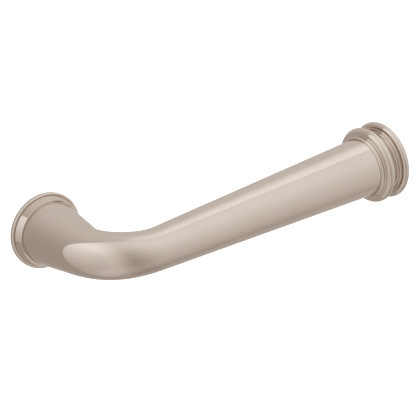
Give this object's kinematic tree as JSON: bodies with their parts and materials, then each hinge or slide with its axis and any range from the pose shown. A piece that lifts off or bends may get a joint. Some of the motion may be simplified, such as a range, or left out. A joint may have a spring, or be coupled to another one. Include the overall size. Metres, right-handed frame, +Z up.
{
  "type": "wall mounted bath spout",
  "caption": "Wall mounted bath spout in polished nickel: ringed wall end, tapering arm, smooth elbow, and a downward trumpet bell with a stepped rim and a screw-in flow straightener.",
  "frame": {"origin": "centre of the supply fitting's face in the wall plane, on the arm's axis", "axes": "+Z up; +Y into the wall, so the arm projects along -Y; the outlet faces -Z; X is across the arm and the part is mirror-symmetric about X = 0"},
  "size_m": [0.054, 0.2545, 0.1075],
  "materials": {
    "polished_nickel": "polished nickel, mirror bright with a warm tone",
    "brass": "turned, unplated",
    "rubber": "moulded, satin black",
    "foam_rubber": "fine closed-cell foam",
    "stainless_steel": "satin",
    "white_plastic": "moulded acetal, satin",
    "soft_plastic": "moulded nylon"
  },
  "bodies": {
    "wall_fitting": {"supply_adapter": "brass", "rear_o_ring": "rubber", "front_o_ring": "rubber"},
    "spout": {"spout_arm": "polished_nickel", "spout_elbow": "polished_nickel", "outlet_bell": "polished_nickel", "outlet_rim": "polished_nickel", "collar_ring": "polished_nickel", "wall_flange": "polished_nickel", "wall_gasket": "foam_rubber", "tail_bush": "brass", "outlet_bush": "brass"},
    "screw_pad": {"set_screw_pad": "soft_plastic"},
    "locking_screw": {"set_screw": "stainless_steel"},
    "insert_washer": {"straightener_washer": "rubber"},
    "flow_straightener": {"straightener_housing": "polished_nickel", "straightener_core": "white_plastic", "inlet_screen": "stainless_steel", "outlet_screen": "stainless_steel", "screen_retainer": "stainless_steel"}
  },
  "joints": [
    {"name": "spout_turn", "type": "hinge", "parent": "wall_fitting", "child": "spout", "pos_m": [0, 0, 0], "axis": [0, -1, 0], "continuous": true},
    {"name": "set_screw_travel", "type": "slide", "parent": "spout", "child": "screw_pad", "axis": [0, 0, -1], "range_m": [0, 0.0024]},
    {"name": "set_screw_turn", "type": "hinge", "parent": "screw_pad", "child": "locking_screw", "pos_m": [0, -0.03, -0.0165], "axis": [0, 0, -1], "range_deg": [0, 1080]},
    {"name": "straightener_travel", "type": "slide", "parent": "spout", "child": "insert_washer", "axis": [0, 0, -1], "range_m": [0, 0.01]},
    {"name": "straightener_turn", "type": "hinge", "parent": "insert_washer", "child": "flow_straightener", "pos_m": [0, -0.2285, -0.051], "axis": [0, 0, -1], "range_deg": [0, 3600]}
  ],
  "couplings": [
    {"joint": "set_screw_turn", "follows": "set_screw_travel", "rad_per_m": 7854},
    {"joint": "straightener_turn", "follows": "straightener_travel", "rad_per_m": 6283.2}
  ]
}
